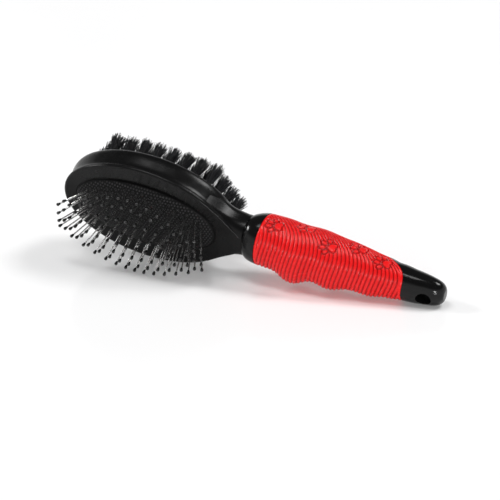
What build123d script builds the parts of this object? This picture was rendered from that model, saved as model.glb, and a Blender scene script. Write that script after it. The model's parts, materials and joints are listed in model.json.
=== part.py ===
"""Double-sided pet grooming brush: steel pins on an air cushion, nylon bristles behind.

Every piece is modelled in the brush's own axes: X along the handle from the middle of the
oval head, Y across the head, Z towards the pin side, with the parting plane at Z = 0.
At the end the whole brush is laid down as it rests on a table: on its rim, on the lowest
pin tips and on the end of its handle.
"""
from build123d import *
from math import cos, hypot, radians, sin, sqrt
import os

# ---- driving dimensions, in millimetres -------------------------------------------------
BRUSH_LENGTH = 222.0
HEAD_A = 49.45              # half length of the oval head
HEAD_B = 31.2               # half width of the oval head
RIM_Z = 7.3                 # crest of the bezel, on the pin side
BACK_Z = -7.8               # edge of the head on the bristle side
SEAM_Z = 4.5                # where the bezel meets the frame
FIT = 0.15                  # play between pieces that are pushed together

CUSHION_A = 42.0            # half length of the cushion that shows
CUSHION_B = 20.5            # half width of the cushion that shows
CUSHION_BASE_Z = 6.2        # level of the dome's widest section
CUSHION_RISE = 5.4
CUSHION_SKIN = 1.6
FLANGE_GROWTH = 4.0         # how far the clamped flange reaches past the dome
FLANGE_THICKNESS = 1.45

WEB_FRONT_Z = -1.2          # floor of the air chamber
WEB_BACK_Z = -3.6           # floor of the bristle plate's pocket
PLATE_A = 47.0
PLATE_B = 28.7
PLATE_FACE_Z = -7.2
PLATE_CHAMFER = 0.6

PIN_RADIUS = 0.4
PIN_LENGTH = 19.2           # from the cushion's skin to the middle of the ball tip
PIN_COLUMNS = 14            # in every other row; the rows between have one less
PIN_COLUMN_PITCH = 5.3
PIN_ROW_OFFSETS = (2.6, 7.8, 12.6, 16.4)    # each side of the middle, at mid length
PIN_ROW_LEANS = (5.0, 17.0, 27.0, 31.0)     # outward lean of those rows, in degrees
TABLE_SIDE_LEANS = (4.0, 12.0, 18.0, 21.0)  # the same, where the brush's weight rests on the pins
PIN_END_LEAN = 26.0         # lengthwise lean of the pins at the ends of a row
PIN_ROW_BOW = 0.75          # how much the rows close up towards the ends
BALL_RADIUS = 0.9
BALL_NECK = 1.45            # length of its tapered neck, from the middle of the ball
BALL_NECK_RADIUS = 0.58
BALL_SOCKET = 0.7           # how far a pin goes into its ball
ANCHOR_RADIUS = 1.1
ANCHOR_THICKNESS = 0.5

TUFT_ROWS = 7
TUFT_ROW_PITCH = 6.7
TUFT_PITCH = 8.2
TUFT_FIELD_A = 45.2
TUFT_FIELD_B = 26.1
TUFT_ROW_BOW = 0.35         # how much the rows close up towards the ends
TUFT_LENGTH = 17.8          # above the plate's face
TUFT_FOOT_RADIUS = 1.2
TUFT_TIP_RADIUS = 3.2
TUFT_DEPTH = 2.4            # inside the plate
TUFT_LEAN = 7.0             # outward lean at the edge of the field, in degrees
STAPLE = (2.0, 0.4, 1.3)

TONGUE_ROOT_X = 37.0         # where the bezel's tongue leaves the oval, on its way along the neck
TONGUE_ROOT_HALF_WIDTH = 20.7
TONGUE_END_HALF_WIDTH = 4.8
TONGUE_RISE_X = 44.0         # from here the tongue climbs towards the collar
TONGUE_END_Z = 9.0
TONGUE_EDGE = 0.8            # rounding of its edges

NECK_X = 58.5               # where the neck ends at the handle's collar
TANG_LENGTH = 30.0
TANG_WIDTH = 12.0
TANG_THICKNESS = 10.0
GRIP_START_X = 67.3
GRIP_TIP_X = 150.6          # the grip's end, where it reaches furthest, near the pin side
GRIP_TIP_Z = 7.2
GRIP_END_CURVE = 0.06       # its end falls back by this much times the square of the distance
GRIP_SKIN = 2.2
GRIP_REACH = 20.0           # half height of the tool that cuts the grip's end
HANDLE_REACH = 25.0         # half size of the tools that cut the handle
HANDLE_END_X = BRUSH_LENGTH - HEAD_A
HANG_HOLE_X = 163.0
HANG_HOLE_RADIUS = 2.9
HANG_HOLE_STRAIGHT = 6.0    # length of the straight wall between the two flared mouths
HANG_HOLE_FLARE = 1.6       # growth of the radius over the flare
HANG_HOLE_FLARE_DEPTH = 5.0

os.makedirs("parts", exist_ok=True)
pieces = {}


# ---- planes and outlines ----------------------------------------------------------------
def level(z):
    """A plane across the brush's thickness, at height z."""
    return Plane.XY.offset(z)


def station(x):
    """A plane square to the handle, at distance x; its own axes are Y and Z."""
    return Plane.YZ.offset(x)


def ovals(*sections):
    """Ellipses at several heights, to be lofted: (z, half length, half width)."""
    faces = []
    for z, half_length, half_width in sections:
        with BuildSketch(level(z)) as oval:
            Ellipse(half_length, half_width)
        faces.append(oval.sketch.face())
    return faces


def handle_ovals(sections, inset=0.0):
    """Ellipses square to the handle: (x, half width, half thickness, middle's Y and Z)."""
    faces = []
    for x, half_width, half_thickness, y, z in sections:
        with BuildSketch(station(x)) as oval:
            with Locations((y, z)):
                Ellipse(half_width - inset, half_thickness - inset)
        faces.append(oval.sketch.face())
    return faces


def neck_sections():
    """Rounded rectangles square to the handle, from the head's wall to the collar."""
    faces = []
    for x, half_width, bottom, top, corner, y in NECK_SECTIONS:
        with BuildSketch(station(x)) as section:
            with Locations((y, (bottom + top) / 2)):
                RectangleRounded(2 * half_width, top - bottom, corner)
        faces.append(section.sketch.face())
    return faces


def tongue_outline(play=0.0):
    """Plan of the bezel's tongue, which runs on along the neck from the oval."""
    root = TONGUE_ROOT_HALF_WIDTH + play
    end = TONGUE_END_HALF_WIDTH + play
    tip_x = NECK_X - FIT + play
    Polygon(
        (TONGUE_ROOT_X, -root), (tip_x, -end), (tip_x, end), (TONGUE_ROOT_X, root), align=None
    )


def ellipsoid(half_length, half_width, rise, z):
    """A scaled ball, centred on the brush's axis at height z."""
    with BuildPart() as ball:
        Sphere(1)
        scale(by=(half_length, half_width, rise))
    return ball.part.moved(Location((0, 0, z)))


# ---- head frame: dish, web, neck and tang -----------------------------------------------
WALL_SECTIONS = (
    (BACK_Z, HEAD_A - 0.9, HEAD_B - 0.9),
    (BACK_Z + 0.8, HEAD_A - 0.1, HEAD_B - 0.1),
    (-2.0, HEAD_A + 0.1, HEAD_B + 0.1),
    (SEAM_Z, HEAD_A - 0.8, HEAD_B - 0.8),
)
# x, half width, bottom, top, corner radius and Y of the section's middle
NECK_SECTIONS = (
    (36.0, 21.2, -7.4, 6.9, 2.5, 0),
    (40.0, 18.7, -7.4, 7.1, 3.2, 0),
    (44.0, 16.0, -7.5, 7.4, 4.5, 0.1),
    (48.0, 13.9, -7.9, 7.9, 5.8, 0.2),
    (52.0, 12.4, -8.7, 8.6, 7.0, 0.4),
    (55.5, 11.6, -9.6, 9.2, 8.3, 0.5),
    (NECK_X, 11.3, -10.3, 9.6, 9.3, 0.6),
)
CHAMBER_A = CUSHION_A + 1.6
CHAMBER_B = CUSHION_B + 1.6
SKIRT_OUTER = 1.8           # inset of the bezel's snap skirt from the head's outline
SKIRT_WALL = 1.1
SKIRT_DEPTH = 2.2
RIM_EDGE = ((SEAM_Z + 1.1, 0.0), (RIM_Z - 0.8, 0.1), (RIM_Z, 1.0))     # height, inset

with BuildPart() as head_frame:
    loft(ovals(*WALL_SECTIONS))
    loft(neck_sections())
    with BuildSketch(station(NECK_X - 1)):
        RectangleRounded(TANG_WIDTH, TANG_THICKNESS, 2.5)
    extrude(amount=TANG_LENGTH + 1)
    # seat for the bezel, so that the neck rises straight behind it
    with BuildSketch(level(SEAM_Z)):
        Ellipse(HEAD_A + FIT, HEAD_B + FIT)
        tongue_outline(play=FIT)
    extrude(amount=RIM_Z, mode=Mode.SUBTRACT)
    # air chamber
    with BuildSketch(level(WEB_FRONT_Z)):
        Ellipse(CHAMBER_A, CHAMBER_B)
    extrude(amount=RIM_Z - WEB_FRONT_Z, mode=Mode.SUBTRACT)
    # groove for the bezel's skirt
    with BuildSketch(level(SEAM_Z)):
        Ellipse(HEAD_A - SKIRT_OUTER + FIT, HEAD_B - SKIRT_OUTER + FIT)
        Ellipse(
            HEAD_A - SKIRT_OUTER - SKIRT_WALL - FIT,
            HEAD_B - SKIRT_OUTER - SKIRT_WALL - FIT,
            mode=Mode.SUBTRACT,
        )
    extrude(amount=-SKIRT_DEPTH - FIT, mode=Mode.SUBTRACT)
    # pocket for the bristle plate
    with BuildSketch(level(WEB_BACK_Z)):
        Ellipse(PLATE_A + FIT, PLATE_B + FIT)
    extrude(amount=BACK_Z - WEB_BACK_Z - 1, mode=Mode.SUBTRACT)
pieces["head_frame"] = head_frame


# ---- bezel: the ring that clamps the cushion --------------------------------------------
with BuildPart() as bezel_tongue:
    with BuildSketch(level(SEAM_Z + 0.05)):
        tongue_outline()
    extrude(amount=RIM_Z)
    with BuildSketch(Plane.XZ):
        Polygon(
            (TONGUE_ROOT_X - 1, 0),
            (TONGUE_ROOT_X - 1, RIM_Z),
            (TONGUE_RISE_X, RIM_Z),
            (NECK_X, TONGUE_END_Z),
            (NECK_X, 0),
            align=None,
        )
    extrude(amount=HEAD_B, both=True, mode=Mode.INTERSECT)
    top = bezel_tongue.faces().filter_by(lambda face: face.normal_at().Z > 0.5)
    fillet([edge for edge in top.edges() if abs(edge.center().Y) > 1], TONGUE_EDGE)

with BuildPart() as cushion_bezel:
    rim = [(z, HEAD_A - inset, HEAD_B - inset) for z, inset in RIM_EDGE]
    loft(ovals((SEAM_Z + 0.05, HEAD_A - 0.5, HEAD_B - 0.5), *rim))
    add(bezel_tongue.part)
    # the face falls gently from the crest to the cushion
    face_foot = (RIM_Z - 0.8, CUSHION_A + 0.3, CUSHION_B + 0.3)
    face_crest = (RIM_Z, HEAD_A - 1.6, HEAD_B - 1.6)
    loft(ovals(face_foot, face_crest), mode=Mode.SUBTRACT)
    with BuildSketch(level(SEAM_Z)):
        Ellipse(CUSHION_A + FIT, CUSHION_B + FIT)
    extrude(amount=RIM_Z, mode=Mode.SUBTRACT)
    # rebate for the cushion's flange
    with BuildSketch(level(SEAM_Z)):
        Ellipse(CUSHION_A + FLANGE_GROWTH + FIT, CUSHION_B + FLANGE_GROWTH + FIT)
    extrude(amount=FLANGE_THICKNESS + 0.05, mode=Mode.SUBTRACT)
    # snap skirt
    with BuildSketch(level(SEAM_Z + 0.1)):
        Ellipse(HEAD_A - SKIRT_OUTER, HEAD_B - SKIRT_OUTER)
        Ellipse(HEAD_A - SKIRT_OUTER - SKIRT_WALL, HEAD_B - SKIRT_OUTER - SKIRT_WALL, mode=Mode.SUBTRACT)
    extrude(amount=-SKIRT_DEPTH - 0.1)
pieces["cushion_bezel"] = cushion_bezel


# ---- pin layout --------------------------------------------------------------------------
def dome_height(x, y):
    """Height of the cushion's skin above the point (x, y)."""
    inside = 1 - (x / CUSHION_A) ** 2 - (y / CUSHION_B) ** 2
    return CUSHION_BASE_Z + CUSHION_RISE * sqrt(max(inside, 0))


def pin_planes(row):
    """Planes on the cushion's skin, one per pin of a row, with Z along the pin.

    Rows 0 to 3 lie on the -Y side, from the edge inwards, and rows 4 to 7 on the +Y side.
    """
    side = -1 if row < 4 else 1
    band = 3 - row if row < 4 else row - 4
    leans = TABLE_SIDE_LEANS if row < 4 else PIN_ROW_LEANS
    half_row = (PIN_COLUMNS - 1) / 2 * PIN_COLUMN_PITCH
    count = PIN_COLUMNS - row % 2
    planes = []
    for column in range(count):
        x = (column - (count - 1) / 2) * PIN_COLUMN_PITCH
        closing = 1 - PIN_ROW_BOW * (x / 40) ** 2
        y = side * PIN_ROW_OFFSETS[band] * closing
        lean_y = side * leans[band] * closing ** 2
        lean_x = PIN_END_LEAN * (x / half_row) * abs(x / half_row)
        along = Vector(sin(radians(lean_x)), sin(radians(lean_y)), 1)
        along = Vector(along.X, along.Y, sqrt(1 - along.X ** 2 - along.Y ** 2))
        planes.append(Plane(origin=(x, y, dome_height(x, y)), z_dir=along))
    return planes


PIN_ROWS = [pin_planes(row) for row in range(8)]


# ---- cushion: domed membrane with a flange and a hole for every pin ----------------------
with BuildPart() as cushion:
    add(ellipsoid(CUSHION_A, CUSHION_B, CUSHION_RISE, CUSHION_BASE_Z))
    split(bisect_by=level(CUSHION_BASE_Z - 0.2), keep=Keep.TOP)
    with BuildSketch(level(SEAM_Z)):
        Ellipse(CUSHION_A, CUSHION_B)
    extrude(amount=CUSHION_BASE_Z - SEAM_Z)
    with BuildSketch(level(SEAM_Z)):
        Ellipse(CUSHION_A + FLANGE_GROWTH, CUSHION_B + FLANGE_GROWTH)
    extrude(amount=FLANGE_THICKNESS)
    add(
        ellipsoid(
            CUSHION_A - CUSHION_SKIN,
            CUSHION_B - CUSHION_SKIN,
            CUSHION_RISE - CUSHION_SKIN,
            CUSHION_BASE_Z,
        ),
        mode=Mode.SUBTRACT,
    )
    with BuildSketch(level(SEAM_Z - 1)):
        Ellipse(CUSHION_A - CUSHION_SKIN, CUSHION_B - CUSHION_SKIN)
    extrude(amount=CUSHION_BASE_Z - SEAM_Z + 1, mode=Mode.SUBTRACT)
    for planes in PIN_ROWS:
        with Locations(*planes):
            Cylinder(PIN_RADIUS + 0.03, 5 * CUSHION_SKIN, mode=Mode.SUBTRACT)
pieces["cushion"] = cushion


# ---- pins and their ball tips ------------------------------------------------------------
ANCHOR_DROP = CUSHION_SKIN + 0.75       # from the skin down to the top of the anchor head

for row, planes in enumerate(PIN_ROWS, start=1):
    with BuildPart() as pin_wires:
        with Locations(*planes):
            with Locations((0, 0, -ANCHOR_DROP)):
                Cylinder(
                    PIN_RADIUS,
                    PIN_LENGTH + ANCHOR_DROP - BALL_RADIUS + BALL_SOCKET,
                    align=(Align.CENTER, Align.CENTER, Align.MIN),
                )
                Cylinder(
                    ANCHOR_RADIUS,
                    ANCHOR_THICKNESS,
                    align=(Align.CENTER, Align.CENTER, Align.MAX),
                )
    pieces[f"pin_wires_row_{row}"] = pin_wires

    with BuildPart() as ball_tips:
        with Locations(*planes):
            with Locations((0, 0, PIN_LENGTH)):
                Sphere(BALL_RADIUS)
                Cone(
                    BALL_NECK_RADIUS,
                    BALL_RADIUS - 0.04,
                    BALL_NECK,
                    align=(Align.CENTER, Align.CENTER, Align.MAX),
                )
            with Locations((0, 0, PIN_LENGTH - BALL_RADIUS + BALL_SOCKET)):
                Cylinder(
                    PIN_RADIUS + 0.01,
                    BALL_NECK,
                    align=(Align.CENTER, Align.CENTER, Align.MAX),
                    mode=Mode.SUBTRACT,
                )
    pieces[f"ball_tips_row_{row}"] = ball_tips


# ---- bristle side: tuft layout -----------------------------------------------------------
def tuft_planes(row):
    """Planes on the plate's face, one per tuft of a row, with Z along the tuft."""
    y = (row - (TUFT_ROWS - 1) / 2) * TUFT_ROW_PITCH
    reach = TUFT_FIELD_A * sqrt(1 - (y / TUFT_FIELD_B) ** 2)
    stagger = TUFT_PITCH / 2 if row % 2 == 0 else 0
    steps = int((reach - stagger) / TUFT_PITCH)
    first = -stagger - steps * TUFT_PITCH
    count = round(-2 * first / TUFT_PITCH) + 1
    planes = []
    for i in range(count):
        x = first + i * TUFT_PITCH
        bowed = y * (1 - TUFT_ROW_BOW * (x / TUFT_FIELD_A) ** 2)
        tilt = sin(radians(TUFT_LEAN))
        away = Vector(tilt * x / TUFT_FIELD_A, tilt * bowed / TUFT_FIELD_B, -1)
        planes.append(Plane(origin=(x, bowed, PLATE_FACE_Z), z_dir=away))
    return planes


TUFT_PLANES = [tuft_planes(row) for row in range(TUFT_ROWS)]

with BuildPart() as bristle_plate:
    with BuildSketch(level(WEB_BACK_Z - 0.05)):
        Ellipse(PLATE_A, PLATE_B)
    extrude(amount=PLATE_FACE_Z - WEB_BACK_Z + 0.05)
    chamfer(bristle_plate.faces().sort_by(Axis.Z)[0].edges(), PLATE_CHAMFER)
    for planes in TUFT_PLANES:
        with Locations(*planes):
            with Locations((0, 0, -TUFT_DEPTH - 0.05)):
                Cylinder(
                    TUFT_FOOT_RADIUS + 0.05,
                    2 * TUFT_DEPTH,
                    align=(Align.CENTER, Align.CENTER, Align.MIN),
                    mode=Mode.SUBTRACT,
                )
pieces["bristle_plate"] = bristle_plate


# ---- tufts and the staples that hold them ------------------------------------------------
for row, planes in enumerate(TUFT_PLANES, start=1):
    with BuildPart() as bristle_tufts:
        with Locations(*planes):
            Cone(
                TUFT_FOOT_RADIUS,
                TUFT_TIP_RADIUS,
                TUFT_LENGTH,
                align=(Align.CENTER, Align.CENTER, Align.MIN),
            )
            Cylinder(
                TUFT_FOOT_RADIUS,
                TUFT_DEPTH - 0.2,
                align=(Align.CENTER, Align.CENTER, Align.MAX),
            )
            with Locations((0, 0, -TUFT_DEPTH)):
                Box(
                    2 * TUFT_FOOT_RADIUS + 1,
                    STAPLE[1] + 0.1,
                    STAPLE[2] + 0.1,
                    align=(Align.CENTER, Align.CENTER, Align.MIN),
                    mode=Mode.SUBTRACT,
                )
    pieces[f"bristle_tufts_row_{row}"] = bristle_tufts

with BuildPart() as tuft_staples:
    for planes in TUFT_PLANES:
        with Locations(*planes):
            with Locations((0, 0, -TUFT_DEPTH)):
                Box(*STAPLE, align=(Align.CENTER, Align.CENTER, Align.MIN))
pieces["tuft_staples"] = tuft_staples


# ---- handle: one smooth outer form, shared by the core and the grip -----------------------
# x, half width, half thickness, Y and Z of the section's middle, without the finger swells
HANDLE_FORM = (
    (NECK_X + 0.2, 11.6, 10.4, 0.5, -0.3),
    (60.4, 12.7, 12.0, 0.5, -0.4),
    (63.2, 13.5, 13.6, 0.7, -0.6),
    (GRIP_START_X, 14.0, 14.7, 0.9, -0.8),
    (72.0, 14.2, 15.1, 0.9, -0.8),
    (77.0, 14.3, 15.3, 0.9, -0.8),
    (81.5, 14.3, 15.4, 0.9, -0.8),
    (86.0, 14.3, 15.4, 0.9, -0.8),
    (90.5, 14.3, 15.4, 0.9, -0.8),
    (95.0, 14.2, 15.4, 0.9, -0.8),
    (100.0, 14.0, 15.2, 0.9, -0.8),
    (104.5, 13.7, 14.9, 0.9, -0.8),
    (109.0, 13.4, 14.5, 0.9, -0.8),
    (113.5, 13.0, 14.0, 0.9, -0.8),
    (118.0, 12.6, 13.4, 0.9, -0.8),
    (123.0, 12.1, 12.8, 0.8, -0.7),
    (127.5, 11.7, 12.2, 0.8, -0.7),
    (132.0, 11.3, 11.6, 0.7, -0.6),
    (136.5, 10.8, 11.0, 0.7, -0.6),
    (141.0, 10.4, 10.4, 0.6, -0.5),
    (147.0, 9.9, 9.6, 0.6, -0.5),
    (153.0, 9.4, 8.8, 0.6, -0.5),
    (159.0, 8.9, 8.1, 0.6, -0.5),
    (165.0, 8.1, 7.1, 0.6, -0.5),
    (169.5, 6.8, 5.8, 0.6, -0.5),
    (171.7, 5.0, 4.2, 0.6, -0.5),
    (HANDLE_END_X, 2.4, 2.0, 0.6, -0.5),
)
FINGER_SWELLS = ((88.5, 4.0), (110.5, 2.1), (132.0, 1.3))       # x and height
FINGER_REACH = 11.5         # half length of a swell
SWELL_SIDEWAYS = 0.45       # share of its height by which the half width grows, towards -Y
SWELL_FORWARD = 0.35        # and the half thickness, towards the pin side


def finger_swell(x):
    """Height of the swell between two fingers at x."""
    for middle, height in FINGER_SWELLS:
        if abs(x - middle) < FINGER_REACH:
            return height * cos(radians(90 * (x - middle) / FINGER_REACH)) ** 2
    return 0


def handle_section(x, half_width, half_thickness, y, z):
    """One section of the outer form, with the finger swell added."""
    sideways = SWELL_SIDEWAYS * finger_swell(x)
    forward = SWELL_FORWARD * finger_swell(x)
    return x, half_width + sideways, half_thickness + forward, y - sideways, z + forward


def handle_form(start, end, inset=0.0):
    """Ellipses of the outer form from start to end."""
    return handle_ovals([handle_section(*row) for row in HANDLE_FORM if start <= row[0] <= end], inset)


def grip_end(z):
    """How far along the handle the grip reaches at height z."""
    return GRIP_TIP_X - GRIP_END_CURVE * (z - GRIP_TIP_Z) ** 2


with BuildPart() as grip_sleeve:
    loft(handle_form(NECK_X, HANDLE_END_X))
    # the grip starts square to the handle and ends in a curve, cut back on the bristle side
    with BuildSketch(Plane.XZ):
        with BuildLine():
            curve_start = grip_end(-GRIP_REACH)
            slope = 2 * GRIP_END_CURVE * (GRIP_TIP_Z + GRIP_REACH)
            curve = Bezier(
                (curve_start, -GRIP_REACH),
                (curve_start + slope * GRIP_REACH, 0),
                (grip_end(GRIP_REACH), GRIP_REACH),
            )
            Polyline(
                curve @ 1,
                (GRIP_START_X, GRIP_REACH),
                (GRIP_START_X, -GRIP_REACH),
                curve @ 0,
            )
        make_face()
    extrude(amount=HANDLE_REACH, both=True, mode=Mode.INTERSECT)
    loft(handle_form(NECK_X + 1, HANDLE_END_X - 2, inset=GRIP_SKIN), mode=Mode.SUBTRACT)
pieces["grip_sleeve"] = grip_sleeve

with BuildPart() as handle_core:
    loft(handle_form(NECK_X, HANDLE_END_X))
    add(grip_sleeve.part, mode=Mode.SUBTRACT)
    # socket for the head's tang
    with BuildSketch(station(NECK_X - 1)):
        RectangleRounded(TANG_WIDTH + 2 * FIT, TANG_THICKNESS + 2 * FIT, 2.5 + FIT)
    extrude(amount=TANG_LENGTH + 2, mode=Mode.SUBTRACT)
    # hang hole, flared towards both faces
    with Locations((HANG_HOLE_X, 0, 0)):
        Cylinder(HANG_HOLE_RADIUS, 2 * HANDLE_REACH, mode=Mode.SUBTRACT)
        for turn in (0, 180):
            with Locations(Location((0, 0, 0), (turn, 0, 0))):
                with Locations((0, 0, HANG_HOLE_STRAIGHT / 2)):
                    Cone(
                        HANG_HOLE_RADIUS,
                        HANG_HOLE_RADIUS + HANG_HOLE_FLARE,
                        HANG_HOLE_FLARE_DEPTH,
                        align=(Align.CENTER, Align.CENTER, Align.MIN),
                        mode=Mode.SUBTRACT,
                    )
pieces["handle_core"] = handle_core


# ---- laying the brush down ---------------------------------------------------------------
def lowest_on_oval(half_length, half_width, z, down):
    """The point of a level ellipse that lies furthest along down."""
    reach = hypot(half_length * down.X, half_width * down.Y)
    return Vector(half_length ** 2 * down.X / reach, half_width ** 2 * down.Y / reach, z)


def resting_points(up):
    """Where rim, lowest ball tip and handle end touch a table whose normal is up."""
    down = up * -1
    rim = max(
        (lowest_on_oval(HEAD_A - inset, HEAD_B - inset, z, down) for z, inset in RIM_EDGE),
        key=lambda point: point.dot(down),
    )
    tips = (plane.origin + plane.z_dir * PIN_LENGTH + down * BALL_RADIUS for plane in PIN_ROWS[0])
    tip = max(tips, key=lambda point: point.dot(down))
    ends = []
    for x, half_width, half_thickness, middle_y, middle_z in HANDLE_FORM:
        if x > HANG_HOLE_X:
            reach = hypot(half_width * down.Y, half_thickness * down.Z)
            y = middle_y + half_width ** 2 * down.Y / reach
            z = middle_z + half_thickness ** 2 * down.Z / reach
            ends.append(Vector(x, y, z))
    end = max(ends, key=lambda point: point.dot(down))
    return rim, tip, end


up = Vector(-0.15, 0.93, -0.33)
for _ in range(8):
    rim, tip, end = resting_points(up)
    up = (end - rim).cross(tip - rim).normalized()
    up = up if up.Y > 0 else up * -1

along = (Vector(1, 0, 0) - up * up.X).normalized()
laid = Plane(origin=(0, 0, 0), x_dir=along, z_dir=up).location.inverse()
box = Compound(children=[piece.part.moved(laid) for piece in pieces.values()]).bounding_box()
centre = Location((-(box.min.X + box.max.X) / 2, -(box.min.Y + box.max.Y) / 2, -box.min.Z))
rest = centre * laid

for name, piece in pieces.items():
    piece.part = piece.part.moved(rest)
    piece.part.label = name
    export_step(piece.part, f"parts/{name}.step")

hole = rest * Location((HANG_HOLE_X, 0, 0))
pin_side = Plane(rest).z_dir
print("pieces", len(pieces))
print("resting points", rim, tip, end, "up", up)
print("size", box.size)
print("hang hole centre, mm", hole.position)
print("direction of the pins", pin_side)
print("brush origin, mm", rest.position, "brush X", Plane(rest).x_dir)
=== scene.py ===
"""Looks of the double-sided pet grooming brush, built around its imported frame.

Detail is laid out in the brush's own axes, in millimetres: X along the handle from the middle
of the oval head, Y across the head, Z towards the pin side. BRUSH takes those to the frame.
"""
import json
import random
from math import cos, radians, sin, tau

import bpy
import numpy as np
from mathutils import Matrix, Vector
from mathutils.bvhtree import BVHTree


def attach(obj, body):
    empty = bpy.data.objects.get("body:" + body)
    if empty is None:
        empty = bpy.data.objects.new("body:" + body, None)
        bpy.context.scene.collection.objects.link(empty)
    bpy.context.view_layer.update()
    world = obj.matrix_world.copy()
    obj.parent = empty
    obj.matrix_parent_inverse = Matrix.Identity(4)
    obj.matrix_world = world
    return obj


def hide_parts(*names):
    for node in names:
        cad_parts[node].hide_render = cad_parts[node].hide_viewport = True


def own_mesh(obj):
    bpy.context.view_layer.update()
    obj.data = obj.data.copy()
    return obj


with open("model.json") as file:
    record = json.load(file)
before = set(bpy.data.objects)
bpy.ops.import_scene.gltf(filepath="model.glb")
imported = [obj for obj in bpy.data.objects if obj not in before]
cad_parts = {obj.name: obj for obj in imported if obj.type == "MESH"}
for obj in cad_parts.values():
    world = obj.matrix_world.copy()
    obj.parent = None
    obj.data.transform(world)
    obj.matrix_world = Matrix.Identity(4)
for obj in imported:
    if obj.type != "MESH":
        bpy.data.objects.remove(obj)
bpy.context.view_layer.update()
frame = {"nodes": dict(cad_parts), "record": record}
nodes = frame["nodes"]

MM = 0.001


# ---- the brush's own axes ----------------------------------------------------------------
HANG_HOLE_X = 163.0


def brush_axes():
    """Matrix from the brush's axes, in millimetres, to the frame; the hang hole fixes it."""
    mount = next(m for m in frame["record"]["mounts"] if m["name"] == "hang_hole")
    pin_side = Vector(mount["axis"]).normalized()
    along = Vector((-pin_side.z, 0, pin_side.x)).normalized()
    if along.x < 0:
        along.negate()
    across = pin_side.cross(along)
    origin = Vector(mount["pos_m"]) - along * HANG_HOLE_X * MM
    turn = Matrix((along, across, pin_side)).transposed().to_4x4()
    return Matrix.Translation(origin) @ turn @ Matrix.Scale(MM, 4)


BRUSH = brush_axes()
BRUSH_ARRAY = np.array(BRUSH)


def to_frame(points):
    """Brush points, as rows in millimetres, in the frame and in metres."""
    return points @ BRUSH_ARRAY[:3, :3].T + BRUSH_ARRAY[:3, 3]


# ---- camera, floor and lights ------------------------------------------------------------
CAMERA_AZIMUTH = 23.7
CAMERA_ELEVATION = 22.5
CAMERA_ROLL = -0.67
CAMERA_DISTANCE = 1.6
CAMERA_LENS = 211.5
CAMERA_SENSOR = 36
CAMERA_REACH = (0.1, 50)
CAMERA_TARGET = Vector((-0.0078, 0.0143, 0.0096))

WALL_LIGHT = 1.0
WALL_TOP = 0.26             # height of the white walls, as the sine of their elevation
WALL_FADE = 0.25            # and how far above it they have faded into the ceiling
CEILING_LIGHT = 0.12
# soft boxes: name, azimuth and elevation in degrees, distance, width and height in m, watts
SOFT_BOXES = (
    ("key", 124, 57, 1.8, 0.6, 0.5, 13.5),
    ("overhead", -30, 76, 1.6, 0.9, 0.4, 8),
    ("left", -82, 34, 1.8, 0.34, 0.34, 9),
    ("front", 30, 8, 1.6, 0.18, 0.18, 7),
)
FLOOR_SIZE = 8
FLOOR_GLOW = 0.1            # light that comes up through the floor


def direction(azimuth, elevation):
    """Unit vector from the object towards a point at that azimuth and elevation."""
    a = radians(azimuth)
    e = radians(elevation)
    return Vector((sin(a) * cos(e), -cos(a) * cos(e), sin(e)))


def add_camera():
    """The one camera, a long lens from the front right."""
    camera = bpy.data.objects.new("camera", bpy.data.cameras.new("camera"))
    bpy.context.scene.collection.objects.link(camera)
    back = direction(CAMERA_AZIMUTH, CAMERA_ELEVATION)
    look = (-back).to_track_quat("-Z", "Y").to_matrix()
    roll = Matrix.Rotation(radians(CAMERA_ROLL), 3, "Z")
    place = Matrix.Translation(CAMERA_TARGET + back * CAMERA_DISTANCE)
    camera.matrix_world = place @ (look @ roll).to_4x4()
    camera.data.lens = CAMERA_LENS
    camera.data.sensor_width = CAMERA_SENSOR
    camera.data.clip_start, camera.data.clip_end = CAMERA_REACH
    bpy.context.scene.camera = camera


def add_light(name, azimuth, elevation, distance, width, height, power):
    """A soft box that faces the brush."""
    data = bpy.data.lights.new(name, "AREA")
    data.shape = "RECTANGLE"
    data.size = width
    data.size_y = height
    data.energy = power
    lamp = bpy.data.objects.new(name, data)
    bpy.context.scene.collection.objects.link(lamp)
    away = direction(azimuth, elevation)
    lamp.location = away * distance
    lamp.rotation_mode = "QUATERNION"
    lamp.rotation_quaternion = away.to_track_quat("Z", "Y")


def studio_world():
    """Low white walls all round and a dim ceiling."""
    world = bpy.data.worlds.new("studio")
    world.use_nodes = True
    tree = world.node_tree
    place = tree.nodes.new("ShaderNodeTexCoord")
    height = tree.nodes.new("ShaderNodeSeparateXYZ")
    ramp = tree.nodes.new("ShaderNodeValToRGB")
    tree.links.new(place.outputs["Generated"], height.inputs[0])
    tree.links.new(height.outputs["Z"], ramp.inputs["Fac"])
    tree.links.new(ramp.outputs["Color"], tree.nodes["Background"].inputs["Color"])
    walls, ceiling = ramp.color_ramp.elements
    walls.position = WALL_TOP
    walls.color = (WALL_LIGHT, WALL_LIGHT, WALL_LIGHT, 1)
    ceiling.position = WALL_TOP + WALL_FADE
    ceiling.color = (CEILING_LIGHT, CEILING_LIGHT, CEILING_LIGHT, 1)
    return world


def add_studio():
    """White floor, low pale walls and soft boxes above and around."""
    bpy.context.scene.world = studio_world()
    bpy.context.scene.view_settings.view_transform = "Standard"
    for box in SOFT_BOXES:
        add_light(*box)

    bpy.ops.mesh.primitive_grid_add(x_subdivisions=8, y_subdivisions=8, size=FLOOR_SIZE)
    floor = bpy.context.object
    floor.name = "floor"
    floor.data.materials.append(floor_material())


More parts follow.
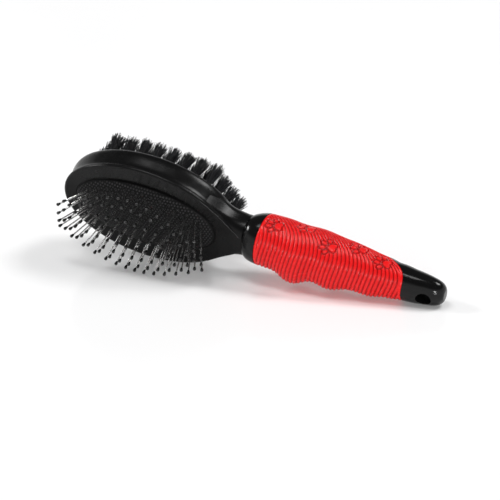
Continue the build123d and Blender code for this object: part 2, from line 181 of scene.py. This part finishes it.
# ---- materials ---------------------------------------------------------------------------
class Look:
    """A procedural material under construction: one shader and the nodes that feed it."""

    def __init__(self, name, metallic=0.0, specular=0.5):
        self.material = bpy.data.materials.new(name)
        self.material.use_nodes = True
        self.tree = self.material.node_tree
        self.shader = self.tree.nodes["Principled BSDF"]
        self.shader.inputs["Metallic"].default_value = metallic
        self.shader.inputs["Specular IOR Level"].default_value = specular
        self.place = self.tree.nodes.new("ShaderNodeTexCoord").outputs["Object"]

    def node(self, kind, **inputs):
        """A node of that kind, with its inputs linked to sockets or set to values."""
        made = self.tree.nodes.new(kind)
        for name, value in inputs.items():
            socket = made.inputs[name.replace("_", " ")]
            if isinstance(value, bpy.types.NodeSocket):
                self.tree.links.new(value, socket)
            else:
                socket.default_value = value
        return made

    def noise(self, size_mm, detail=3.0, rough=0.55, vector=None):
        """Noise whose features measure about size_mm."""
        scale = 1 / (size_mm * MM)
        made = self.node("ShaderNodeTexNoise", Scale=scale, Detail=detail, Roughness=rough)
        self.tree.links.new(vector or self.place, made.inputs["Vector"])
        return made.outputs["Fac"]

    def stretched(self, factors):
        """Object coordinates turned to the brush's axes and scaled along each of them."""
        turn = BRUSH.to_3x3().normalized().transposed().to_euler()
        turned = self.node("ShaderNodeMapping", Vector=self.place, Rotation=turn)
        return self.node("ShaderNodeMapping", Vector=turned.outputs[0], Scale=factors).outputs[0]

    def attribute(self, name):
        """A number stored on the piece's mesh."""
        made = self.tree.nodes.new("ShaderNodeAttribute")
        made.attribute_name = name
        return made.outputs["Fac"]

    def spread(self, value, low, high, start=0.3, end=0.7):
        """The value from start to end, as a number from low to high."""
        made = self.node("ShaderNodeMapRange", Value=value)
        made.inputs["From Min"].default_value = start
        made.inputs["From Max"].default_value = end
        made.inputs["To Min"].default_value = low
        made.inputs["To Max"].default_value = high
        return made.outputs["Result"]

    def colours(self, value, *stops):
        """A colour ramp over the value; each stop is (position, colour)."""
        made = self.node("ShaderNodeValToRGB", Fac=value)
        ramp = made.color_ramp
        while len(ramp.elements) < len(stops):
            ramp.elements.new(0.5)
        for element, (position, colour) in zip(ramp.elements, stops):
            element.position = position
            element.color = (*colour, 1)
        return made.outputs["Color"]

    def total(self, first, second):
        """The sum of two numbers."""
        made = self.tree.nodes.new("ShaderNodeMath")
        self.tree.links.new(first, made.inputs[0])
        self.tree.links.new(second, made.inputs[1])
        return made.outputs[0]

    def finish(self, colour, roughness, height=None, height_mm=0.02):
        """Colour, roughness and bump into the shader."""
        self.tree.links.new(colour, self.shader.inputs["Base Color"])
        self.tree.links.new(roughness, self.shader.inputs["Roughness"])
        if height is not None:
            bump = self.node("ShaderNodeBump", Height=height, Distance=height_mm * MM)
            self.tree.links.new(bump.outputs["Normal"], self.shader.inputs["Normal"])
        return self.material


def grey(value, tint=(1.0, 1.0, 1.0)):
    """A tinted grey."""
    return tuple(value * t for t in tint)


def floor_material():
    """White acrylic sheet, faintly glossy and a little translucent to the light under it."""
    look = Look("floor_acrylic", specular=0.4)
    look.shader.inputs["Emission Color"].default_value = (1, 1, 1, 1)
    look.shader.inputs["Emission Strength"].default_value = FLOOR_GLOW
    cloudy = look.noise(220, detail=2)
    colour = look.colours(cloudy, (0.3, (0.93, 0.93, 0.935)), (0.7, (0.955, 0.955, 0.955)))
    return look.finish(colour, look.spread(look.noise(35), 0.10, 0.14))


def moulded_plastic(name, shade, roughness, grain_mm, grain_height, specular):
    """Black moulded plastic: slow cloudiness in colour and gloss, over a fine mould grain."""
    look = Look(name, specular=specular)
    cloudy = look.noise(9.0, detail=4)
    colour = look.colours(cloudy, (0.3, grey(shade * 0.8)), (0.7, grey(shade * 1.25, (1, 1, 1.04))))
    gloss = look.total(
        look.spread(look.noise(5.0, detail=5), roughness - 0.03, roughness + 0.03),
        look.spread(look.noise(0.6, detail=2), -0.02, 0.02),
    )
    return look.finish(colour, gloss, look.noise(grain_mm, detail=3, rough=0.6), grain_height)


def cushion_rubber():
    """Matt black rubber; the crests of its raised dots and the collars round the pins are painted
    lighter as highlight, and are rubbed a little smoother.
    """
    look = Look("cushion_rubber", specular=0.12)
    painted_relief_light = look.attribute("painted_relief_light")
    # painted highlight: lighter on the dot crests and collars, near black between them
    colour = look.colours(painted_relief_light, (0.0, grey(0.002)), (1.0, grey(0.042, (1, 1, 1.03))))
    gloss = look.total(
        look.spread(painted_relief_light, 0.52, 0.34, 0, 1),
        look.spread(look.noise(2.5), -0.05, 0.05),
    )
    return look.finish(colour, gloss, look.noise(0.25), 0.01)


def drawn_steel():
    """Bright drawn wire, with fine lengthwise lines and a slight change of tone."""
    look = Look("pin_steel", metallic=1.0)
    lines = look.noise(0.25, detail=2, vector=look.stretched((1, 1, 0.03)))
    tone = look.noise(3.0)
    colour = look.colours(tone, (0.3, (0.55, 0.55, 0.545)), (0.7, (0.72, 0.715, 0.71)))
    return look.finish(colour, look.spread(lines, 0.14, 0.28), lines, 0.006)


def nylon():
    """Black nylon filaments, each its own shade, a little lighter towards the tip."""
    look = Look("nylon", specular=0.25)
    shade = look.attribute("shade")
    colour = look.colours(
        shade, (0.0, grey(0.002)), (0.55, (0.006, 0.006, 0.007)), (1.0, (0.02, 0.021, 0.025))
    )
    gloss = look.spread(look.noise(0.8), 0.26, 0.42)
    return look.finish(colour, gloss, look.noise(0.12), 0.004)


def grip_rubber():
    """Red rubber, painted darker in the valleys between the ribs and in the paw grooves as shade,
    with a fine skin.
    """
    look = Look("grip_rubber", specular=0.24)
    painted_relief_light = look.attribute("painted_relief_light")
    # painted shade: darkest down in the valleys and grooves, lightest on the crests and pads, with
    # a little random tone on top
    tone = look.total(painted_relief_light, look.spread(look.noise(6.0, detail=4), -0.06, 0.06))
    colour = look.colours(
        tone, (0.0, (0.13, 0.001, 0.002)), (0.45, (0.50, 0.004, 0.005)), (1.0, (0.80, 0.009, 0.010))
    )
    gloss = look.total(
        look.spread(look.noise(3.0, detail=4), 0.17, 0.32),
        look.spread(look.noise(0.5), -0.03, 0.03),
    )
    return look.finish(colour, gloss, look.noise(0.3, detail=2), 0.012)


def staple_wire():
    """Flat steel staple wire with a dull zinc bloom."""
    look = Look("staple_steel", metallic=1.0)
    colour = look.colours(look.noise(0.8), (0.3, (0.42, 0.42, 0.43)), (0.7, (0.6, 0.6, 0.6)))
    return look.finish(colour, look.spread(look.noise(0.5), 0.28, 0.45), look.noise(0.2), 0.01)


# ---- mesh helpers ------------------------------------------------------------------------
def add_piece(name, points, faces, material, body):
    """A smooth mesh piece from brush points, riding on a body."""
    mesh = bpy.data.meshes.new(name)
    mesh.from_pydata(to_frame(points).tolist(), [], faces.tolist())
    mesh.materials.append(material)
    mesh.shade_smooth()
    piece = bpy.data.objects.new(name, mesh)
    bpy.context.scene.collection.objects.link(piece)
    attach(piece, body)
    return piece


def store(piece, name, values):
    """A number for each vertex, which a material reads."""
    layer = piece.data.attributes.new(name, "FLOAT", "POINT")
    layer.data.foreach_set("value", np.asarray(values, np.float32).ravel())


def grid_faces(rows, columns, close_rows=False, close_columns=False):
    """Quads of a grid of points numbered row by row, joined round where it closes."""
    r = np.arange(rows if close_rows else rows - 1)
    c = np.arange(columns if close_columns else columns - 1)
    r, c = (a.ravel() for a in np.meshgrid(r, c, indexing="ij"))
    r2 = (r + 1) % rows
    c2 = (c + 1) % columns
    return np.stack([r * columns + c, r * columns + c2, r2 * columns + c2, r2 * columns + c], 1)


def ease(value, start, end):
    """Smooth step from 0 at start to 1 at end."""
    t = np.clip((value - start) / (end - start), 0, 1)
    return t * t * (3 - 2 * t)


# ---- rubber grip -------------------------------------------------------------------------
HANDLE_STATIONS = (60.0, 158.0, 1.0)
HANDLE_TURN_STEP = 5
HANDLE_OUTSIDE = 40         # a distance from the axis that is clear of the handle
HANDLE_SMOOTHING = 3        # rounds of evening out the facets

GRIP_START_X = 67.3
GRIP_TIP_X = 150.6          # the grip's end, where it reaches furthest, near the pin side
GRIP_TIP_Z = 7.2
GRIP_END_CURVE = 0.06       # its end falls back by this much times the square of the distance
GRIP_ROWS = 360
GRIP_COLUMNS = 260
GRIP_INNER_ROWS = 12
GRIP_WALL = 1.9
GRIP_END_STEPS = 12         # rounds of working out where the curved end lies
GRIP_EDGE_ROUND = 0.6       # how far in from its edges the lip is rounded
GRIP_EDGE_DROP = 0.45       # and how far it drops there

RIB_PITCH = 2.25
RIB_DEPTH = 1.2
RIB_SWEEP = 5.7             # how far the ribs sweep back round the bristle side
RIB_SLANT = 2.9             # and slant across the broad sides
RIB_FULLNESS = 0.92         # 1 for half-round ribs that meet in sharp valleys
LIP_WIDTH = 1.5

PAWS = ((74.6, 1.0), (91.0, -22.0), (107.0, 12.0), (122.0, -18.0), (137.0, -2.0))
PAW_GROOVE = 0.9            # depth and width of the groove round each pad
PAW_GROOVE_WIDTH = 0.3
PAW_GROOVE_FADE = 0.5       # the ribs take this far to come back outside the groove
PAW_EDGE = (-0.3, 0.15)     # the side of a pad slopes between these gaps
PAW_REACH = 9.0             # further away than this, a paw print does nothing
GROOVE_PAINTED_SHADE = 0.2           # painted shade: how light the rubber is painted down in a groove, from 0 to 1
# pads of a paw: middle along and across, half length, half width, turn in degrees
PAW_PADS = (
    (1.7, 0.0, 1.9, 2.3, 0),
    (2.9, 1.35, 1.3, 1.4, 0),
    (2.9, -1.35, 1.3, 1.4, 0),
    (-0.8, 3.7, 1.5, 1.0, -38),
    (-3.1, 1.45, 1.7, 1.05, -12),
    (-3.1, -1.45, 1.7, 1.05, 12),
    (-0.8, -3.7, 1.5, 1.0, 38),
)


def handle_radius():
    """The handle's outer form as a table of radii, taken from the CAD and evened out."""
    tree_points = []
    tree_faces = []
    inverse = BRUSH.inverted()
    for name in ("grip_sleeve", "handle_core"):
        start = len(tree_points)
        mesh = nodes[name].data
        tree_points += [inverse @ v.co for v in mesh.vertices]
        tree_faces += [[start + i for i in p.vertices] for p in mesh.polygons]
    tree = BVHTree.FromPolygons(tree_points, tree_faces)
    stations = np.arange(*HANDLE_STATIONS)
    turns = np.arange(0, 360, HANDLE_TURN_STEP)
    table = np.zeros((len(stations), len(turns)))
    for i, x in enumerate(stations):
        for j, turn in enumerate(turns):
            out = Vector((0, cos(radians(turn)), sin(radians(turn))))
            hit = tree.ray_cast(Vector((x, 0, 0)) + out * HANDLE_OUTSIDE, -out)[0]
            table[i, j] = hit.yz.length
    for _ in range(HANDLE_SMOOTHING):
        table[1:-1] = (table[:-2] + 2 * table[1:-1] + table[2:]) / 4
        table = (np.roll(table, 1, 1) + 2 * table + np.roll(table, -1, 1)) / 4
    return stations, turns, table


STATIONS, TURNS, RADII = handle_radius()


def radius_at(x, turn):
    """Radius of the outer form at x and at a turn from +Y towards +Z, in degrees."""
    i = np.clip((x - STATIONS[0]) / (STATIONS[1] - STATIONS[0]), 0, len(STATIONS) - 1.001)
    j = (turn % 360) / (TURNS[1] - TURNS[0])
    i0 = i.astype(int)
    j0 = j.astype(int)
    j1 = (j0 + 1) % len(TURNS)
    a = i - i0
    b = j - j0
    low = RADII[i0, j0 % len(TURNS)] * (1 - b) + RADII[i0, j1] * b
    high = RADII[i0 + 1, j0 % len(TURNS)] * (1 - b) + RADII[i0 + 1, j1] * b
    return low * (1 - a) + high * a


def rib_course(turn):
    """How far the ribs are swept along the handle at each turn."""
    around = np.radians(turn)
    return RIB_SLANT * np.cos(around) - RIB_SWEEP * (1 - np.sin(around)) ** 2


def paw_gap(along, across):
    """Distance in mm from the nearest pad of a paw print; negative on the pads."""
    gap = np.full_like(along, PAW_REACH)
    for middle_x, middle_y, half_x, half_y, turn in PAW_PADS:
        dx = along - middle_x
        dy = across - middle_y
        c = cos(radians(turn))
        s = sin(radians(turn))
        reach = np.hypot((dx * c + dy * s) / half_x, (dy * c - dx * s) / half_y)
        gap = np.minimum(gap, (reach - 1) * min(half_x, half_y))
    return gap


def build_grip(material):
    """Sleeve with wavy ribs, a smooth lip at both ends and paw prints on its broad sides."""
    turn = np.arange(GRIP_COLUMNS) * 360 / GRIP_COLUMNS
    end = np.full(GRIP_COLUMNS, GRIP_TIP_X)
    for _ in range(GRIP_END_STEPS):
        height = radius_at(end, turn) * np.sin(np.radians(turn))
        end = (end + GRIP_TIP_X - GRIP_END_CURVE * (height - GRIP_TIP_Z) ** 2) / 2
    share = np.linspace(0, 1, GRIP_ROWS)[:, None]
    x = GRIP_START_X + share * (end - GRIP_START_X)
    turns = np.broadcast_to(turn, x.shape)
    radius = radius_at(x, turns)

    phase = ((x - rib_course(turns)) / RIB_PITCH) % 1
    crest = np.sqrt(1 - RIB_FULLNESS * (2 * phase - 1) ** 2)
    valley = np.sqrt(1 - RIB_FULLNESS)
    edge = np.minimum(x - GRIP_START_X, end - x)
    ribbed = ease(edge, LIP_WIDTH * 0.75, LIP_WIDTH * 1.25)
    depth = RIB_DEPTH * ribbed * (1 - crest)
    # painted light: 1 on the rib crests, falling to 0 down in the valleys; the rubber is painted
    # darker where it is low, as shade
    painted_relief_light = 1 - ribbed * (1 - crest) / (1 - valley)
    for side in (0, 180):
        for paw_x, paw_turn in PAWS:
            off = (turns - paw_turn - side + 180) % 360 - 180
            gap = paw_gap(x - paw_x, np.radians(off) * radius)
            groove = 1 - ease(gap, PAW_GROOVE_WIDTH, PAW_GROOVE_WIDTH + PAW_GROOVE_FADE)
            pad = 1 - ease(gap, *PAW_EDGE)
            depth = depth * (1 - groove) + groove * PAW_GROOVE * (1 - pad)
            # painted shade: the groove round each pad is painted down to the groove's shade, the
            # pads themselves at full light
            painted_relief_light = painted_relief_light * (1 - groove) + groove * (GROOVE_PAINTED_SHADE + (1 - GROOVE_PAINTED_SHADE) * pad)
    depth += GRIP_EDGE_DROP * (1 - np.sqrt(np.clip(edge / GRIP_EDGE_ROUND, 0, 1)))

    inner_share = np.linspace(1, 0, GRIP_INNER_ROWS)[:, None]
    inner_x = GRIP_START_X + inner_share * (end - GRIP_START_X)
    inner_turns = np.broadcast_to(turn, inner_x.shape)
    inner_radius = radius_at(inner_x, inner_turns) - GRIP_WALL
    all_x = np.concatenate([x, inner_x])
    all_turns = np.radians(np.concatenate([turns, inner_turns]))
    all_radius = np.concatenate([radius - depth, inner_radius])
    points = np.stack([all_x, all_radius * np.cos(all_turns), all_radius * np.sin(all_turns)], 2)
    faces = grid_faces(len(all_x), GRIP_COLUMNS, close_rows=True, close_columns=True)
    piece = add_piece(
        "rubber_grip", points.reshape(-1, 3), faces, material, "handle_and_head"
    )
    # painted light for the grip's colour: the outer face as worked out above, the inner face at the
    # grooves' painted shade
    store(piece, "painted_relief_light", np.concatenate([painted_relief_light, np.full(inner_x.shape, GROOVE_PAINTED_SHADE)]))
    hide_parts("grip_sleeve")


# ---- air cushion -------------------------------------------------------------------------
CUSHION_A = 42.0
CUSHION_B = 20.5
CUSHION_BASE_Z = 6.2
CUSHION_RISE = 5.4
CUSHION_SKIN = 1.3
DOT_PITCH = 1.75
DOT_RADIUS = 0.62
DOT_HEIGHT = 0.42
COLLAR_RADIUS = 1.15
COLLAR_HEIGHT = 0.35
DOT_ROW_RATIO = 0.866       # spacing of the rows of a triangular pattern, in pitches
CUSHION_STEPS = (400, 205)
CUSHION_INNER_RINGS = 7

PIN_COLUMNS = 14
PIN_COLUMN_PITCH = 5.3
PIN_ROW_OFFSETS = (2.6, 7.8, 12.6, 16.4)
PIN_ROW_BOW = 0.75
PIN_FIELD_A = 40            # the rows bow towards the long axis by the square of x over this


def pin_feet():
    """Where the pins leave the cushion, as rows of (x, y)."""
    offsets = [-offset for offset in reversed(PIN_ROW_OFFSETS)] + list(PIN_ROW_OFFSETS)
    feet = []
    for row, offset in enumerate(offsets):
        count = PIN_COLUMNS - row % 2
        for column in range(count):
            x = (column - (count - 1) / 2) * PIN_COLUMN_PITCH
            feet.append((x, offset * (1 - PIN_ROW_BOW * (x / PIN_FIELD_A) ** 2)))
    return np.array(feet)


def build_cushion(material):
    """Domed rubber skin with raised dots all over and a collar round every pin."""
    u, v = np.meshgrid(
        np.linspace(-1, 1, CUSHION_STEPS[0]), np.linspace(-1, 1, CUSHION_STEPS[1]), indexing="ij"
    )
    # a square grid drawn onto the oval, so that its cells stay nearly even
    x = CUSHION_A * u * np.sqrt(1 - v * v / 2)
    y = CUSHION_B * v * np.sqrt(1 - u * u / 2)
    inside = np.clip(1 - (x / CUSHION_A) ** 2 - (y / CUSHION_B) ** 2, 0, 1)
    dome = CUSHION_RISE * np.sqrt(inside)

    rows = np.round(y / (DOT_PITCH * DOT_ROW_RATIO))
    shift = np.where(rows % 2 == 0, 0, DOT_PITCH / 2)
    dot_x = np.round((x - shift) / DOT_PITCH) * DOT_PITCH + shift
    dot_y = rows * DOT_PITCH * DOT_ROW_RATIO
    dots = np.clip(1 - ((x - dot_x) ** 2 + (y - dot_y) ** 2) / DOT_RADIUS ** 2, 0, 1)
    feet = pin_feet()
    gap = np.min(
        np.hypot(x.ravel()[:, None] - feet[:, 0], y.ravel()[:, None] - feet[:, 1]), axis=1
    ).reshape(x.shape)
    dots = dots * ease(gap, COLLAR_RADIUS * 1.1, COLLAR_RADIUS * 1.6) * ease(inside, 0.02, 0.09)
    collar = 1 - ease(gap, COLLAR_RADIUS * 0.6, COLLAR_RADIUS)

    height = dome + DOT_HEIGHT * dots + COLLAR_HEIGHT * collar
    upper = np.stack([x, y, CUSHION_BASE_Z + height], 2).reshape(-1, 3)
    top = grid_faces(*CUSHION_STEPS)
    rim = edge_loop(*CUSHION_STEPS)

    # the inner face closes over in rings that shrink from the rim to one point in the middle
    angle = np.arange(CUSHION_INNER_RINGS)[:, None] / CUSHION_INNER_RINGS * np.pi / 2
    inner_x = x.ravel()[rim] * (1 - CUSHION_SKIN / CUSHION_A) * np.cos(angle)
    inner_y = y.ravel()[rim] * (1 - CUSHION_SKIN / CUSHION_B) * np.cos(angle)
    inner_z = CUSHION_BASE_Z + (CUSHION_RISE - CUSHION_SKIN) * np.sin(angle) + 0 * inner_x
    rings = np.stack([inner_x, inner_y, inner_z], 2).reshape(-1, 3)
    middle = (0, 0, CUSHION_BASE_Z + CUSHION_RISE - CUSHION_SKIN)
    lower = np.append(rings, [middle], axis=0)
    first = len(upper)
    last = first + len(rings) - len(rim)
    under = grid_faces(CUSHION_INNER_RINGS, len(rim), close_columns=True)[:, ::-1] + first
    around = np.arange(len(rim))
    after = np.roll(around, -1)
    wall = np.stack([rim, first + around, first + after, np.roll(rim, -1)], 1)
    spoke = around[::2]
    hub = np.full(len(spoke), first + len(rings))
    fan = np.stack([hub, last + (spoke + 2) % len(rim), last + spoke + 1, last + spoke], 1)
    piece = add_piece(
        "air_cushion",
        np.concatenate([upper, lower]),
        np.concatenate([top, under, wall, fan]),
        material,
        "handle_and_head",
    )
    # painted highlight: the dot crests, and the collars at half, are stored to be painted lighter
    store(piece, "painted_relief_light", np.append((dots + 0.5 * collar).ravel(), np.zeros(len(lower))))
    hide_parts("cushion")
    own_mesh(piece)


def edge_loop(rows, columns):
    """The outer points of a grid, in order round it."""
    first = np.arange(columns)
    last = (np.arange(1, rows) * columns) + columns - 1
    back = (rows - 1) * columns + np.arange(columns - 2, -1, -1)
    up = np.arange(rows - 2, 0, -1) * columns
    return np.concatenate([first, last, back, up])


# ---- bristle tufts -----------------------------------------------------------------------
TUFT_ROWS = 7
TUFT_ROW_PITCH = 6.7
TUFT_PITCH = 8.2
TUFT_FIELD_A = 45.2
TUFT_FIELD_B = 26.1
TUFT_ROW_BOW = 0.35
TUFT_LENGTH = 17.8
TUFT_LEAN = 7.0
PLATE_FACE_Z = -7.2
TUFT_ROOT_DEPTH = 1.5
FILAMENTS = 150
FILAMENT_RADIUS = 0.17
FILAMENT_STEPS = 5
FILAMENT_SIDES = 3
FILAMENT_TAPER = 0.2        # share of its thickness that a filament loses by its tip
FILAMENT_TRIM = 0.9         # spread of the filaments' lengths
FILAMENT_BEND = 0.5         # and of how far their tips stray to a side
TUFT_ROOT_RADIUS = 1.05
TUFT_CROWN_RADIUS = 3.9
TUFT_CROWN_SPREAD = (0.8, 1.15)
TUFT_FLARE = 1.3            # above 1, a tuft widens more near its tip
TUFT_SEED = 7


def tuft_roots(row):
    """Foot and direction of every tuft of a row, as the bristle plate's holes have them."""
    y = (row - (TUFT_ROWS - 1) / 2) * TUFT_ROW_PITCH
    reach = TUFT_FIELD_A * (1 - (y / TUFT_FIELD_B) ** 2) ** 0.5
    stagger = TUFT_PITCH / 2 if row % 2 == 0 else 0
    steps = int((reach - stagger) / TUFT_PITCH)
    x = -stagger - steps * TUFT_PITCH
    tilt = sin(radians(TUFT_LEAN))
    while x < reach:
        bowed = y * (1 - TUFT_ROW_BOW * (x / TUFT_FIELD_A) ** 2)
        away = Vector((tilt * x / TUFT_FIELD_A, tilt * bowed / TUFT_FIELD_B, -1)).normalized()
        yield Vector((x, bowed, PLATE_FACE_Z)), away
        x += TUFT_PITCH


def filament(root, away, rng):
    """Rings of points along one filament, which leans out a little and bends near its tip."""
    side = away.orthogonal().normalized()
    other = away.cross(side)
    spin = rng.uniform(0, tau)
    spread = rng.uniform(0, 1) ** 0.5
    out = side * cos(spin) + other * sin(spin)
    foot = root + out * TUFT_ROOT_RADIUS * spread - away * TUFT_ROOT_DEPTH
    crown = TUFT_CROWN_RADIUS * spread * rng.uniform(*TUFT_CROWN_SPREAD)
    length = TUFT_LENGTH + TUFT_ROOT_DEPTH - abs(rng.gauss(0, FILAMENT_TRIM))
    bend = side * rng.gauss(0, FILAMENT_BEND) + other * rng.gauss(0, FILAMENT_BEND)
    rings = []
    for step in range(FILAMENT_STEPS):
        t = step / (FILAMENT_STEPS - 1)
        grow = (crown - TUFT_ROOT_RADIUS * spread) * t ** TUFT_FLARE
        middle = foot + away * length * t + out * grow + bend * t * t
        thin = FILAMENT_RADIUS * (1 - FILAMENT_TAPER * t)
        for k in range(FILAMENT_SIDES):
            turn = tau * k / FILAMENT_SIDES + spin
            rings.append(middle + side * thin * cos(turn) + other * thin * sin(turn))
    return rings


def build_tufts(material):
    """The seven rows of tufts, filament by filament."""
    rng = random.Random(TUFT_SEED)
    sides = FILAMENT_SIDES
    # a filament is two triangles a side on every step, and one triangle at each end
    tube = grid_faces(FILAMENT_STEPS, sides, close_columns=True)
    last = (FILAMENT_STEPS - 1) * sides
    caps = np.array([[2, 1, 0], [last, last + 1, last + 2]])
    pattern = np.concatenate([tube[:, [0, 1, 2]], tube[:, [0, 2, 3]], caps])
    for row in range(TUFT_ROWS):
        points = []
        shades = []
        for root, away in tuft_roots(row):
            for _ in range(FILAMENTS):
                points += filament(root, away, rng)
                shade = rng.uniform(0, 0.8)
                for step in range(FILAMENT_STEPS):
                    shades += [shade + 0.2 * step / (FILAMENT_STEPS - 1)] * sides
        size = FILAMENT_STEPS * sides
        starts = np.arange(0, len(points), size)
        faces = (pattern[None] + starts[:, None, None]).reshape(-1, 3)
        name = f"nylon_tufts_row_{row + 1}"
        piece = add_piece(name, np.array(points), faces, material, "handle_and_head")
        store(piece, "shade", shades)
        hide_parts(f"bristle_tufts_row_{row + 1}")


# ---- carried-over CAD nodes --------------------------------------------------------------
def dress(name, material):
    """A CAD node keeps its shape and gets its own finish."""
    node = nodes[name]
    node.data.materials.clear()
    node.data.materials.append(material)


def dress_nodes():
    """Finishes of the pieces whose CAD shape is shown."""
    satin = moulded_plastic("head_plastic", 0.003, 0.25, 0.35, 0.008, specular=0.17)
    glossy = moulded_plastic("handle_plastic", 0.003, 0.13, 1.2, 0.005, specular=0.24)
    tips = moulded_plastic("tip_plastic", 0.004, 0.14, 0.4, 0.003, specular=0.5)
    plate = moulded_plastic("plate_plastic", 0.008, 0.46, 0.3, 0.015, specular=0.3)
    steel = drawn_steel()
    dress("head_frame", satin)
    dress("cushion_bezel", satin)
    dress("bristle_plate", plate)
    dress("handle_core", glossy)
    dress("tuft_staples", staple_wire())
    for row in range(1, 9):
        dress(f"pin_wires_row_{row}", steel)
        dress(f"ball_tips_row_{row}", tips)


# ---- the scene ---------------------------------------------------------------------------
add_camera()
add_studio()
dress_nodes()
build_grip(grip_rubber())
build_cushion(cushion_rubber())
build_tufts(nylon())
